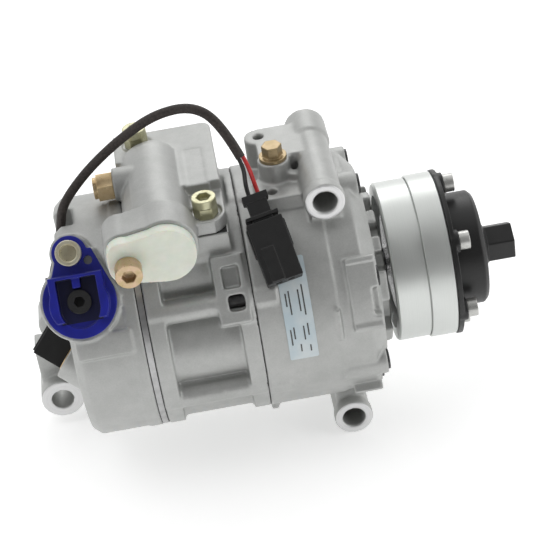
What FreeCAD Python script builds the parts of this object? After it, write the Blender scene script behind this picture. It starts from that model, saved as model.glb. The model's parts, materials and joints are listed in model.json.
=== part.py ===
"""Variable-displacement swash-plate air-conditioning compressor, clutchless, with a damped drive coupling.

Frame: +X along the shaft towards the drive end, +Y towards the engine, +Z up. The origin is on the shaft
axis, in the plane of the two front mounting ears. Lengths are in millimetres.
"""
import FreeCAD
import Part
import Sketcher
import math
import os
from FreeCAD import Placement, Rotation, Vector

doc = FreeCAD.newDocument("ac_compressor")

DRIVING_SIZES = {
    # stations along the shaft
    "rear_face_x": -126.5, "rear_seam_x": -93, "mid_seam_x": -39.5, "block_front_x": -43,
    "front_face_x": 19.5, "nose_end_x": 25, "chamber_front_x": 4, "swash_x": -22, "piston_crown_x": -77,
    "piston_front_x": -9.5, "ring_rear_x": 27.5, "ring_step_x": 43.5, "ring_front_x": 56.5,
    "plate_front_x": 59, "drum_front_x": 74.6, "hex_front_x": 91.5,
    # housings
    "body_r": 59, "rear_r": 58.4, "chamber_r": 54.5, "nose_r": 31, "castellation_r": 38.5, "gasket_t": 0.4,
    "reed_t": 0.3, "valve_plate_t": 2.4, "flange_width": 8,
    # cylinders, through bolts and ears
    "bore_r": 15, "bore_circle_r": 38, "fit": 0.05, "bolt_circle_r": 54.2, "bolt_hole_r": 3.3, "bolt_r": 3,
    "ear_z": 64, "ear_r": 8.9, "ear_face_r": 9.6, "ear_front_y": -36.5, "ear_hole_r": 5.5, "ear_back_y": 34,
    "rear_ear_x": -143.3, "rear_ear_z": -57.8, "rear_ear_r": 11, "rear_ear_front_y": 12,
    # shaft train
    "shaft_r": 8, "ball_r": 14, "swash_r": 46, "swash_t": 6, "swash_hub_r": 24, "shoe_ball_r": 10,
    "shoe_r": 7.5,
    "ring_rear_r": 39.3, "ring_front_r": 40.3, "ring_inner_r": 33, "hub_r": 24, "drum_r": 28, "hex_flats": 17,
    "plate_bolt_circle_r": 35.5,
    # manifold on top, ports and their caps
    "pedestal_z": 57, "duct_r": 16, "duct_x": -76.5, "duct_z": 60, "port_face_y": -48, "port_x": -75,
    "port_z": 62, "port_bolt_x": -92.9, "port_bolt_z": 59.5, "port_hole_r": 9, "suction_x": -118.1,
    "suction_up": 6.8, "suction_out": 59.7, "suction_cap_r": 17, "tapped_r": 2.5,
    # flying lead
    "lead_r": 2.25, "wire_r": 1,
}
sheet = doc.addObject("Spreadsheet::Sheet", "Sizes")
for row, (alias, number) in enumerate(DRIVING_SIZES.items(), start=1):
    sheet.set(f"A{row}", alias)
    sheet.set(f"B{row}", str(number))
    sheet.setAlias(f"B{row}", alias)
doc.recompute()

PISTONS = 7
PISTON_START = 16.5  # degrees from +Z towards +Y
BOLT_START = PISTON_START - 180 / PISTONS
SWASH_LIMIT = math.radians(18)
VIEW_TILT = math.radians(35)  # the suction port and its cap face forward and up by this much


class Size:
    """A length from the sheet: its value now, and the expression that drives it."""

    def __init__(self, value, text):
        self.value = value
        self.text = text

    def _with(self, other, sign, result):
        return Size(result, f"({self.text} {sign} {text_of(other)})")

    def __add__(self, other):
        return self._with(other, "+", self.value + value_of(other))

    def __sub__(self, other):
        return self._with(other, "-", self.value - value_of(other))

    def __mul__(self, factor):
        return self._with(factor, "*", self.value * value_of(factor))

    def __rsub__(self, other):
        return Size(value_of(other) - self.value, f"({text_of(other)} - {self.text})")

    def __neg__(self):
        return self * -1

    __radd__ = __add__
    __rmul__ = __mul__


def value_of(length):
    return length.value if isinstance(length, Size) else float(length)


def text_of(length):
    return length.text if isinstance(length, Size) else f"({length:.9f})"


class Sheet:
    """The sheet's aliases as attributes, each one a Size."""

    def __getattr__(self, alias):
        return Size(getattr(sheet, alias), f"Sizes.{alias}")


S = Sheet()
BLOCK_REAR_X = S.rear_seam_x + 2 * S.gasket_t + S.reed_t + S.valve_plate_t

ALONG_Z = Rotation()
ALONG_X = Rotation(Vector(0, 1, 0), 90)
ALONG_Y = Rotation(Vector(1, 0, 0), -90)
PORT_TURN = Rotation(Vector(1, 0, 0), 90 - math.degrees(VIEW_TILT))
TOWARDS_BOLT = ALONG_Y * Rotation(Vector(0, 0, 1), 90)  # from the discharge port to its bolt


def bind(thing, prop, length):
    """Set a property, tied to the sheet where the length comes from it."""
    if isinstance(length, Size):
        thing.setExpression(prop, length.text)
    else:
        setattr(thing, prop, length)


def put(thing, at, turn=ALONG_Z):
    """Place a thing at a point whose coordinates may come from the sheet."""
    thing.Placement = Placement(Vector(*(value_of(c) for c in at)), turn)
    for axis, coordinate in zip("xyz", at):
        if isinstance(coordinate, Size):
            thing.setExpression(f"Placement.Base.{axis}", coordinate.text)
    return thing


def cylinder(radius, length, at, turn=ALONG_X, name="cylinder"):
    thing = doc.addObject("Part::Cylinder", name)
    bind(thing, "Radius", radius)
    bind(thing, "Height", length)
    return put(thing, at, turn)


def rod(radius, start, end, y=0, z=0, name="rod"):
    """A cylinder along X between two stations."""
    return cylinder(radius, end - start, (start, y, z), ALONG_X, name)


def cone(radius_start, radius_end, length, at, turn=ALONG_X):
    thing = doc.addObject("Part::Cone", "cone")
    bind(thing, "Radius1", radius_start)
    bind(thing, "Radius2", radius_end)
    bind(thing, "Height", length)
    return put(thing, at, turn)


def box(low, high):
    thing = doc.addObject("Part::Box", "box")
    for prop, a, b in zip(("Length", "Width", "Height"), low, high):
        bind(thing, prop, b - a)
    return put(thing, low)


def local_box(size, at, turn):
    """A box centred on its local X and Y, standing on its local Z = 0, moved to a place."""
    thing = doc.addObject("Part::Box", "box")
    for prop, length in zip(("Length", "Width", "Height"), size):
        bind(thing, prop, length)
    corner = turn.multVec(Vector(-value_of(size[0]) / 2, -value_of(size[1]) / 2, 0))
    return put(thing, [c + offset for c, offset in zip(at, corner)], turn)


def taper(width_start, width_end, length, thickness, at, turn):
    """A slab that narrows or widens from its local Y = 0 to its length, its foot on local Z = 0."""
    thing = doc.addObject("Part::Wedge", "taper")
    for prop, size in (("Xmin", width_start * -0.5), ("Xmax", width_start * 0.5), ("X2min", width_end * -0.5),
                       ("X2max", width_end * 0.5), ("Ymin", 0), ("Ymax", length), ("Zmin", 0), ("Z2min", 0),
                       ("Zmax", thickness), ("Z2max", thickness)):
        bind(thing, prop, size)
    return put(thing, at, turn)


def hexagon(flats, length, at, turn=ALONG_X):
    thing = doc.addObject("Part::Prism", "hexagon")
    thing.Polygon = 6
    bind(thing, "Circumradius", flats * (1 / math.sqrt(3)))
    bind(thing, "Height", length)
    return put(thing, at, turn)


def ball(radius, at):
    thing = doc.addObject("Part::Sphere", "ball")
    bind(thing, "Radius", radius)
    return put(thing, at)


def fuse(things, label=None):
    if len(things) == 1:
        return things[0]
    result = doc.addObject("Part::MultiFuse", label or "joined")
    result.Shapes = things
    result.Refine = True
    return result


def cut(base, tools, label=None):
    result = doc.addObject("Part::Cut", label or "cut")
    result.Base = base
    result.Tool = fuse(tools)
    result.Refine = True
    return result


def common(base, tool, label=None):
    result = doc.addObject("Part::Common", label or "shared")
    result.Base = base
    result.Tool = tool
    return result


def group(things, label):
    """Separate solids of one kind kept as one node."""
    result = doc.addObject("Part::Compound", label)
    result.Links = things
    return result


def round_positions(count, start, radius):
    """Places evenly spaced about the shaft: (angle in degrees, y, z), angles from +Z towards +Y."""
    for index in range(count):
        angle = start + 360 / count * index
        turn = math.radians(angle)
        yield angle, radius * math.sin(turn), radius * math.cos(turn)


def ring(outer, inner, start, end, label=None):
    """A plain ring about the shaft."""
    return cut(rod(outer, start, end), [rod(inner, start - 1, end + 1)], label)


def bolt_rods(radius, start, end):
    places = round_positions(PISTONS, BOLT_START, S.bolt_circle_r)
    return [rod(radius, start, end, y, z) for _, y, z in places]


def bore_rods(radius, start, end, circle=S.bore_circle_r):
    return [rod(radius, start, end, y, z) for _, y, z in round_positions(PISTONS, PISTON_START, circle)]


def origin_plane(body, role):
    return next(feature for feature in body.Origin.OriginFeatures if feature.Role == role)


def draw_outline(sketch, points):
    """A closed outline of straight lines, each point held by its distances from the sketch origin."""
    places = [Vector(value_of(a), value_of(b), 0) for a, b in points]
    for index, start in enumerate(places):
        sketch.addGeometry(Part.LineSegment(start, places[(index + 1) % len(places)]))
    for index in range(len(places)):
        sketch.addConstraint(Sketcher.Constraint("Coincident", index, 2, (index + 1) % len(places), 1))
    for index, pair in enumerate(points):
        for kind, length in zip(("DistanceX", "DistanceY"), pair):
            number = sketch.addConstraint(Sketcher.Constraint(kind, index, 1, value_of(length)))
            if isinstance(length, Size):
                sketch.setExpression(f"Constraints[{number}]", length.text)


def sketch_on(body, name, role="XY_Plane"):
    sketch = body.newObject("Sketcher::SketchObject", name)
    sketch.AttachmentSupport = (origin_plane(body, role), "")
    sketch.MapMode = "FlatFace"
    return sketch


def turned(label, outline):
    """A piece turned about the shaft axis, from an outline of (station, radius) points."""
    body = doc.addObject("PartDesign::Body", label)
    sketch = sketch_on(body, label + "_outline")
    draw_outline(sketch, outline)
    turn = body.newObject("PartDesign::Revolution", label + "_turn")
    turn.Profile = sketch
    turn.ReferenceAxis = (sketch, ["H_Axis"])
    turn.Angle = 360
    return body


def sleeve(label, outer, inner, start, end):
    """A turned ring, bush or seal."""
    return turned(label, [(start, inner), (start, outer), (end, outer), (end, inner)])


def radial_point(x, angle, radius):
    """A point at an angle from +Z towards -Y, the side away from the engine."""
    turn = math.radians(angle)
    return x, -radius * math.sin(turn), radius * math.cos(turn)


def sector(outer, inner, start, end, top_angle, sweep, label=None):
    """A strip bent round the shaft between two stations and two angles, from +Z towards -Y."""
    turn = Rotation(Vector(1, 0, 0), top_angle - 180) * ALONG_X
    wedge = cylinder(outer, end - start, (start, 0, 0), turn)
    wedge.Angle = sweep
    return cut(wedge, [rod(inner, start - 1, end + 1)], label)


def port_point(along, up, out):
    """A point near the suction port: along the shaft, up its face, and out from the face."""
    rise = S.suction_up + up
    reach = S.suction_out + out
    y = rise * math.sin(VIEW_TILT) - reach * math.cos(VIEW_TILT)
    z = rise * math.cos(VIEW_TILT) + reach * math.sin(VIEW_TILT)
    return S.suction_x + along, y, z


def port_lobe(disc_r, lobe_r, thickness, out):
    """The outline shared by the suction boss and its cap: a disc, a bolt lobe above it and a web."""
    web_length = SUCTION_BOLT[1] - 5
    return [cylinder(disc_r, thickness, port_point(0, 0, out), PORT_TURN),
            cylinder(lobe_r, thickness, port_point(*SUCTION_BOLT, out), PORT_TURN),
            taper(disc_r * 1.72, lobe_r * 1.96, web_length, thickness, port_point(1.2, 6, out), PORT_TURN)]


# ---------------------------------------------------------------- housings

DUCT_Y = 1
DUCT_HOLE_Z = 53
RELIEF_Y = 7
RELIEF_Z = 66.3
MANIFOLD_BOLTS = [(-54.3, -26.5, 62.5), (-81.6, 35, 69)]
MANIFOLD_FRONT_X = -45.2
SUCTION_BOLT = (-0.9, 22.6)  # along and up from the middle of the suction port
TAPPED_DEPTH = 8
TOP_HOLES = [(-22.3, -15.6, 62), (-8.9, -4.1, 66), (-23.5, 18.6, 72)]
PAD_BOLT = (-19, -3.2, 72)
CASTELLATIONS = [(18.7, 7), (40.7, 7.5), (72, 15), (121, 12), (155, 8), (187, 8), (222, 12), (262, 15),
                 (300, 8), (330, 8), (354, 7)]  # angle from +Z towards -Y, and width


def make_cylinder_block():
    """Seven cylinders between two flanges, with the pedestal for the manifold and the rear shaft bearing."""
    flange_end = BLOCK_REAR_X + S.flange_width
    pad_angle = 55
    pad_turn = Rotation(Vector(1, 0, 0), pad_angle)
    pad = local_box((15, 32, 13.5), radial_point(-49, pad_angle, 46.5), pad_turn)
    windows = [local_box((8, 10.5, 8), radial_point(-48.3, pad_angle - 6, 55.5), pad_turn),
               local_box((7.5, 7.5, 8), radial_point(-47.5, pad_angle + 6.5, 55.5), pad_turn)]
    solid = [rod(50, BLOCK_REAR_X, S.block_front_x), rod(S.body_r, BLOCK_REAR_X, flange_end),
             rod(S.body_r, S.mid_seam_x - S.flange_width, S.mid_seam_x), pad,
             box((BLOCK_REAR_X, -36, 30), (MANIFOLD_FRONT_X, 45, S.pedestal_z))]
    solid += bore_rods(S.bore_r + 3.6, BLOCK_REAR_X, S.block_front_x)
    solid += bolt_rods(5.6, BLOCK_REAR_X, S.mid_seam_x)
    chamber = cut(rod(S.chamber_r, S.block_front_x, S.mid_seam_x + 1),
                  bolt_rods(5.6, S.block_front_x - 1, S.mid_seam_x + 2))
    holes = [chamber, rod(12, -60, -40), rod(9, -64, -50), cylinder(4.5, 3, (-95, 0, 0))]
    holes += bore_rods(S.bore_r, BLOCK_REAR_X - 1, S.block_front_x + 1)
    holes += bolt_rods(S.bolt_hole_r, BLOCK_REAR_X - 1, S.mid_seam_x + 1)
    holes += [rod(3, BLOCK_REAR_X - 1, -82, DUCT_Y, DUCT_HOLE_Z), cylinder(3, 8, (-84, DUCT_Y, 52), ALONG_Z)]
    holes += [cylinder(S.tapped_r, 14, (x, y, 46), ALONG_Z) for x, y, _ in MANIFOLD_BOLTS]
    grooves = [ring(S.body_r + 1, S.body_r - 1.5, -61, -59.5),
               ring(S.body_r - 0.4, S.body_r - 1.3, S.mid_seam_x - 0.6, S.mid_seam_x + 1)]
    flat_top = [box((-96, -50, S.pedestal_z), (-43.5, 50, 70))]
    casting = cut(cut(fuse(solid), flat_top), grooves)
    return cut(casting, holes + windows, "cylinder_block")


def make_front_housing():
    """Crank-case front: drum, bolt lugs, castellated nose, two ears and the stepped pad on top."""
    shoulder_x = S.front_face_x - 7
    solid = [rod(S.body_r, S.mid_seam_x, -2), rod(S.body_r - 0.7, -2, shoulder_x),
             cone(S.body_r - 0.7, 50, 7, (shoulder_x, 0, 0)),
             rod(S.nose_r, 10, S.nose_end_x)]
    *lug_places, panel_place = round_positions(PISTONS, BOLT_START, S.bolt_circle_r - 1)
    solid += [rod(7.4, -4, S.front_face_x - 1.5, y, z) for _, y, z in lug_places]
    solid += [sector(S.body_r + 1.4, 50, 4, 18.2, 51, 33), sector(S.body_r + 2.3, 52, 4, 18.2, 50.5, 2.5),
              sector(S.body_r + 2.3, 52, 4, 18.2, 82, 2.5), rod(6.8, 8, 18.2, *panel_place[1:])]
    for angle, width in CASTELLATIONS:
        turn = Rotation(Vector(1, 0, 0), angle)
        foot = radial_point(S.nose_end_x - 5.25, angle, value_of(S.castellation_r) - 9.2)
        solid.append(local_box((9.5, width, 9.2), foot, turn))
    ear_length = S.ear_back_y - S.ear_front_y
    for side in (1, -1):
        solid += [cylinder(S.ear_r, ear_length, (0, S.ear_front_y, S.ear_z * side), ALONG_Y),
                  cylinder(S.ear_face_r, 6, (0, S.ear_front_y, S.ear_z * side), ALONG_Y),
                  cylinder(S.ear_face_r + 0.4, 18, (0, 16, S.ear_z * side), ALONG_Y)]
    solid += [box((-7, -30, 45), (7, 34, 62)), box((-7, -30, -62), (7, 34, -45))]
    pad_x, pad_y, _ = PAD_BOLT
    solid += [box((-30, -22.5, 40), (-6, -3, 62)), cylinder(7, 22, (-8.9, -4.1, 44), ALONG_Z),
              cylinder(7.6, 27, (pad_x, pad_y, 45), ALONG_Z), cylinder(7, 27, (-23.5, 18.6, 45), ALONG_Z),
              box((-25.5, -2, 45), (-4, 18.6, 72)), box((-23.5, 10, 45), (-4, 25.6, 72))]
    seam_lugs = [rod(6.5, S.mid_seam_x, -29, y, z)
                 for _, y, z in round_positions(PISTONS, BOLT_START, S.bolt_circle_r)]
    chamber = cut(rod(S.chamber_r, S.mid_seam_x - 1, S.chamber_front_x),
                  bolt_rods(5.6, S.mid_seam_x - 2, S.chamber_front_x + 1))
    holes = [chamber, rod(16, 3, 15), rod(10, 14, 17), rod(13, 16, 26), rod(14.3, 23.2, 24.6)]
    holes += bolt_rods(S.bolt_hole_r, S.mid_seam_x - 1, 20) + bolt_rods(5, S.front_face_x - 6.5, 25)
    holes += [cylinder(S.ear_hole_r, 90, (0, -45, S.ear_z * side), ALONG_Y) for side in (1, -1)]
    holes += [cylinder(S.tapped_r, TAPPED_DEPTH + 1, (x, y, top - TAPPED_DEPTH), ALONG_Z)
              for x, y, top in TOP_HOLES]
    holes += [cylinder(3, 13, (pad_x, pad_y, PAD_BOLT[2] - 12), ALONG_Z)]
    slot_angle = 71.5
    slot_turn = Rotation(Vector(1, 0, 0), slot_angle)
    holes += [local_box((4.2, 13, 9), radial_point(16.5, slot_angle, 53), slot_turn)]
    lugs = common(fuse(seam_lugs), rod(S.body_r + 1.2, S.mid_seam_x, -29))
    return cut(fuse(solid + [lugs]), holes, "front_housing")


def make_rear_housing():
    """Suction and discharge chambers, suction port, control-valve bore, rear ear and lead channel."""
    face = S.rear_face_x
    ear_x, ear_z, ear_y = S.rear_ear_x, S.rear_ear_z, S.rear_ear_front_y
    solid = [rod(S.rear_r, face + 4, S.rear_seam_x - 6), rod(S.body_r, S.rear_seam_x - 6, S.rear_seam_x),
             cone(55, S.rear_r, 4, (face, 0, 0)), sector(S.body_r + 1, 50, -124, -98, 64, 11),
             cylinder(S.rear_ear_r, S.ear_back_y - ear_y, (ear_x, ear_y, ear_z), ALONG_Y),
             box((ear_x, ear_y, ear_z), (ear_x + 10.5, S.ear_back_y, ear_z + 10.5)),
             box((ear_x - 9, 20, ear_z), (-120, S.ear_back_y, -30)),
             box((ear_x, 20, ear_z - 9), (-112, S.ear_back_y, -40)),
             cylinder(9.5, 17, (-137.5, 17, -15), ALONG_Y), box((-137.5, 17, -24.5), (-120, 34, -5.5)),
             cylinder(12, 20, valve_point(8), VALVE_TURN)]
    solid += port_lobe(S.suction_cap_r + 1.6, 9.4, 22, -22)
    discharge = [rod(31, -104, S.rear_seam_x + 1), rod(8, -113, -100), rod(3, -113, -94, DUCT_Y, DUCT_HOLE_Z),
                 cylinder(3, DUCT_HOLE_Z, (-110, DUCT_Y, 0), ALONG_Z)]
    _, link_y, link_z = port_point(0, 0, -17.2)
    suction = [ring(50, 34.5, -104, S.rear_seam_x + 1), rod(7, -121, -103, link_y, link_z),
               cylinder(S.port_hole_r, 22, port_point(0, 0, -21), PORT_TURN)]
    holes = discharge + suction + bolt_rods(S.bolt_r, -110, S.rear_seam_x + 1)
    holes += [cylinder(8.5, 29, valve_point(4), VALVE_TURN),
              local_box((16.3, 13, 15.6), valve_point(-7.6), VALVE_TURN),
              cylinder(3.9, 16, port_point(*SUCTION_BOLT, -15), PORT_TURN),
              cylinder(S.ear_hole_r, 40, (ear_x, 5, ear_z), ALONG_Y)]
    channel = [box((face - 12, -7.2, 24), (face + 10, 6.8, 70))]
    pockets = [rod(8.5, face - 5, face + 9, y, z) for _, y, z in round_positions(6, 12, 39)
               if y > 10 or z < -30]
    return cut(fuse(solid), holes + channel + pockets, "rear_housing")


def make_sandwich():
    """The sheets clamped between the block and the rear housing, with both kinds of reed."""
    rear = S.rear_seam_x
    plate_rear = rear + S.gasket_t
    plate_front = plate_rear + S.valve_plate_t
    reed_front = plate_front + S.reed_t
    discharge_holes = bore_rods(3, rear - 1, reed_front + 1, 27)
    suction_holes = bore_rods(3.5, rear - 1, reed_front + 1, 45.5)
    duct = rod(3, rear - 1, BLOCK_REAR_X + 1, DUCT_Y, DUCT_HOLE_Z)
    bolt_holes = bolt_rods(S.bolt_hole_r, rear - 1, BLOCK_REAR_X + 1)
    edge = S.body_r - 0.6
    cut(rod(edge, rear, plate_rear), [rod(30.5, rear - 1, plate_rear + 1), duct] + bolt_holes
        + bore_rods(6.5, rear - 1, plate_rear + 1, 42.5), "rear_gasket")
    cut(rod(S.body_r - 0.3, plate_rear, plate_front), discharge_holes + suction_holes + [duct] + bolt_holes
        + [rod(2, plate_rear - 1, plate_front + 1)], "valve_plate")
    tongues = []
    for _, y, z in round_positions(PISTONS, PISTON_START, 45.5):
        tongues.append(cut(rod(5.6, plate_front - 1, reed_front + 1, y, z),
                           [rod(4.6, plate_front - 2, reed_front + 2, y, z),
                            rod(5, plate_front - 2, reed_front + 2, y * 0.86, z * 0.86)]))
    cut(rod(edge, plate_front, reed_front), tongues + bore_rods(4.2, plate_front - 1, reed_front + 1, 27)
        + [duct] + bolt_holes, "suction_reeds")
    cut(rod(edge, reed_front, BLOCK_REAR_X), bore_rods(S.bore_r + 0.2, reed_front - 1, BLOCK_REAR_X + 1)
        + [duct] + bolt_holes, "front_gasket")
    star_start = 180 / PISTONS + PISTON_START
    gaps = [rod(7.5, rear - 3, plate_rear + 1, y, z) for _, y, z in round_positions(PISTONS, star_start, 27)]
    cut(rod(30, rear, plate_rear), gaps + [rod(2.1, rear - 1, plate_rear + 1)], "discharge_reeds")
    fuse([cut(rod(29.5, rear - 1.6, rear), gaps + [rod(2.1, rear - 3, plate_rear + 1)]),
          rod(4.5, rear - 4.5, rear - 1.6), rod(2, rear - 2, plate_front - 0.3)], "discharge_retainer")


def make_seals_and_bearings():
    sleeve("seam_o_ring", S.body_r - 0.4, S.body_r - 1.3, S.mid_seam_x - 0.6, S.mid_seam_x)
    sleeve("front_bearing", 16, S.shaft_r + S.fit, 4, 15)
    sleeve("shaft_seal", 13, S.shaft_r + S.fit, 17, 23.2)
    sleeve("seal_ring", 14.3, 10.5, 23.3, 24.5)
    sleeve("rear_bearing", 12, S.shaft_r + S.fit, -60, -48)
    sleeve("thrust_bearing", 24, 12, 0.55, S.chamber_front_x)


def make_through_bolts():
    bolts = []
    for _, y, z in round_positions(PISTONS, BOLT_START, S.bolt_circle_r):
        seat = S.front_face_x - 6.5
        head = cut(rod(4.8, seat, seat + 6.2, y, z), [hexagon(5, 4, (seat + 3.2, y, z))])
        bolts.append(fuse([head, rod(S.bolt_r, -108, seat, y, z)]))
    group(bolts, "through_bolts")


# ---------------------------------------------------------------- manifold, ports and caps

def port_outline(port_r, lobe_r, crown_r, front_y, thickness):
    """The outline shared by the discharge flange and its cap: a disc and a tall lobe round the bolt."""
    crown_x = S.port_bolt_x - lobe_r + crown_r
    crown_z = S.port_bolt_z + 5.9
    side_x = S.port_bolt_x - lobe_r
    return [cylinder(port_r, thickness, (S.port_x, front_y, S.port_z), ALONG_Y),
            cylinder(lobe_r, thickness, (S.port_bolt_x, front_y, S.port_bolt_z), ALONG_Y),
            cylinder(crown_r, thickness, (crown_x, front_y, crown_z), ALONG_Y),
            box((side_x, front_y, S.port_bolt_z), (S.port_bolt_x, front_y + thickness, crown_z)),
            taper(port_r * 1.9, lobe_r * 2.46, 14.4, thickness, (S.port_x - 4, front_y, S.port_z - 0.3),
                  TOWARDS_BOLT)]


def manifold_outline():
    """The solid outside of the muffler: duct, back plate, shelf, front part and the port flange."""
    base = S.pedestal_z + 0.6
    front_x = MANIFOLD_FRONT_X
    flange = port_outline(15.3, 9.9, 8.6, S.port_face_y, 18)
    slope = Rotation(Vector(0, 1, 0), 38)
    plate = [box((-93, 20, base), (front_x - 5, 45, 70)), box((front_x - 6, 20, base), (front_x, 40, 70)),
             cylinder(5, 70 - base, (front_x - 5, 40, base), ALONG_Z)]
    shelf = [box((-64, -10, base), (front_x, 22, 70))]
    front = [box((-93, -36, base), (-60, 20, S.duct_z)), box((-66, -31, base), (front_x - 5, -9, 64.5)),
             box((-66, -36, base), (-51, -9, 64.5)), box((-66, -28, base), (front_x, -9, 64.5)),
             cylinder(8.9, 64.5 - base, (-54.1, -27.1, base), ALONG_Z)]
    duct = [cylinder(S.duct_r, 70, (S.duct_x, -46, S.duct_z), ALONG_Y),
            ball(S.duct_r - 0.4, (S.duct_x, 22.5, S.duct_z)), rod(8, -95, -80, RELIEF_Y, RELIEF_Z),
            local_box((14, 60, 6), (S.duct_x - 9, -6, S.duct_z + 3), slope)]
    return flange + plate + shelf + front + duct


def make_manifold():
    """Discharge muffler on the pedestal: a rounded duct along Y, its port flange, shelf and back plate."""
    base = S.pedestal_z + 0.6
    rear_clear = BLOCK_REAR_X + 0.5
    upper = cut(fuse(manifold_outline()),
                [box((-140, -36.3, 30), (-20, 60, base)), rod(S.body_r + 0.6, -125, rear_clear),
                 common(rod(S.body_r + 0.6, rear_clear - 1, -40), box((-95, -60, 20), (-30, -36.3, 60)))])
    holes = [cylinder(12.5, 52, (S.duct_x, -32, S.duct_z), ALONG_Y),
             cylinder(S.port_hole_r, 40, (S.port_x, -50, S.port_z), ALONG_Y),
             cylinder(3.9, 11, (S.port_bolt_x, -49, S.port_bolt_z), ALONG_Y),
             rod(4, -97, -80, RELIEF_Y, RELIEF_Z),
             box((-60.5, -10, 68.5), (-51, 22, 71)), cylinder(7.4, 4, MANIFOLD_BOLTS[0], ALONG_Z)]
    holes += [cylinder(3, 16, (x, y, 55), ALONG_Z) for x, y, _ in MANIFOLD_BOLTS]
    holes += [cylinder(7.4, 9, MANIFOLD_BOLTS[1], ALONG_Z)]
    cut(upper, holes, "muffler_housing")
    cut(box((-89, -35, S.pedestal_z), (MANIFOLD_FRONT_X - 1, 44, base)),
        [box((-88, -30, 50), (-67, 20, 60))]
        + [cylinder(3, 6, (x, y, 55), ALONG_Z) for x, y, _ in MANIFOLD_BOLTS], "muffler_gasket")
    bolts = []
    for x, y, seat in MANIFOLD_BOLTS:
        head = fuse([hexagon(10, 6, (x, y, seat), ALONG_Z), cylinder(5.7, 4, (x, y, seat + 6), ALONG_Z)])
        head = cut(head, [hexagon(6, 4, (x, y, seat + 7), ALONG_Z)])
        bolts.append(fuse([head, cylinder(S.tapped_r, seat - 47, (x, y, 47), ALONG_Z)]))
    group(bolts, "muffler_bolts")


def make_relief_valve():
    """Brass pressure-relief valve screwed into the side of the manifold, with its sprung poppet."""
    y, z = RELIEF_Y, RELIEF_Z
    body = fuse([hexagon(12.6, 7.6, (-102.6, y, z)), rod(4, -96, -84, y, z),
                 rod(5.2, -104.6, -102.6, y, z)])
    cut(body, [rod(2.6, -107, -90, y, z), rod(1.4, -92, -83, y, z)], "relief_valve_body")
    fuse([rod(2.5, -97, -90.6, y, z), cone(1.3, 2.5, 1, (-90.6, y, z), Rotation(Vector(0, 1, 0), -90))],
         "relief_poppet")


def make_port_caps():
    """Shipping caps on both ports, each held by the bolt that later holds the pipe."""
    front = S.port_face_y
    x_bolt, x_port, z_bolt, z_port = S.port_bolt_x, S.port_x, S.port_bolt_z, S.port_z
    plug = cylinder(S.port_hole_r - 0.6, 9, (x_port, front, z_port), ALONG_Y)
    cap = fuse(port_outline(13.7, 8.7, 7.6, front - 6, 6) + [plug])
    cut(cap, [cylinder(3.5, 8, (x_bolt, front - 7, z_bolt), ALONG_Y)], "discharge_port_cap")
    head = cut(cylinder(6.2, 7.3, (x_bolt, front - 13.3, z_bolt), ALONG_Y),
               [hexagon(6, 4.5, (x_bolt, front - 14, z_bolt), ALONG_Y)])
    fuse([head, cylinder(3.4, 15, (x_bolt, front - 6, z_bolt), ALONG_Y)], "discharge_cap_bolt")

    collar_top = 8.4
    recess = 1.4
    collar = cut(fuse([cylinder(13.6, collar_top, port_point(0, -1, 0), PORT_TURN),
                       local_box((25, 13, collar_top), port_point(0, 6, 0), PORT_TURN)]),
                 [cylinder(9.3, 9, port_point(0, -3, recess), PORT_TURN),
                  local_box((18.6, 14, 9), port_point(0, 4, recess), PORT_TURN),
                  local_box((30, 12, 9), port_point(0, -14.5, 3), PORT_TURN)])
    tab = local_box((3.8, 5.5, 6.2), port_point(0, 9.2, 0), PORT_TURN)
    plate = port_lobe(S.suction_cap_r, 8.1, 3, 0) + [
        collar, cylinder(S.port_hole_r - 0.5, 6, port_point(0, 0, -6), PORT_TURN)]
    holes = [common(cylinder(9.3, 5, port_point(0, -3, recess), PORT_TURN),
                    local_box((18.6, 30, 5), port_point(0, -1, recess), PORT_TURN)),
             local_box((18.6, 14, 5), port_point(0, 4, recess), PORT_TURN),
             cylinder(3.4, 5, port_point(*SUCTION_BOLT, -1), PORT_TURN),
             cylinder(2, 5, port_point(7, 18.2, -1), PORT_TURN),
             cylinder(5.1, 12, port_point(0, 0, -7), PORT_TURN)]
    fuse([cut(fuse(plate), holes), tab], "suction_port_cap")
    cup = cut(cylinder(5.9, 7, port_point(*SUCTION_BOLT, 3), PORT_TURN),
              [cylinder(4, 5.5, port_point(*SUCTION_BOLT, 5), PORT_TURN)])
    fuse([cup, cylinder(3.3, 16, port_point(*SUCTION_BOLT, -13), PORT_TURN)], "suction_cap_bolt")
    plug = fuse([cylinder(5, 8, port_point(0, 0, -4), PORT_TURN),
                 cylinder(5.6, 1.2, port_point(0, 0, 3.3), PORT_TURN)])
    cut(plug, [hexagon(4.6, 6, port_point(0, 0, 1), PORT_TURN)], "suction_cap_plug")

    x, y, top = PAD_BOLT
    fuse([cylinder(6.6, 1.8, (x, y, top), ALONG_Z), hexagon(8.4, 5.5, (x, y, top + 1.8), ALONG_Z),
          cylinder(3, 11, (x, y, top - 11), ALONG_Z)], "pad_bolt")


VALVE_TURN = Rotation(Vector(1, 0, 0), -math.degrees(VIEW_TILT)) * Rotation(Vector(0, 1, 0), 130.6)
VALVE_PLUG_CENTRE = Vector(-136.4, -24, 2.6)


def valve_point(depth):
    """A point on the control valve's axis, measured into the housing from the middle of its plug."""
    place = VALVE_PLUG_CENTRE + VALVE_TURN.multVec(Vector(0, 0, depth))
    return place.x, place.y, place.z


def valve_ring(outer, inner, start, length):
    return cut(cylinder(outer, length, valve_point(start), VALVE_TURN),
               [cylinder(inner, length + 2, valve_point(start - 1), VALVE_TURN)])


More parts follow.
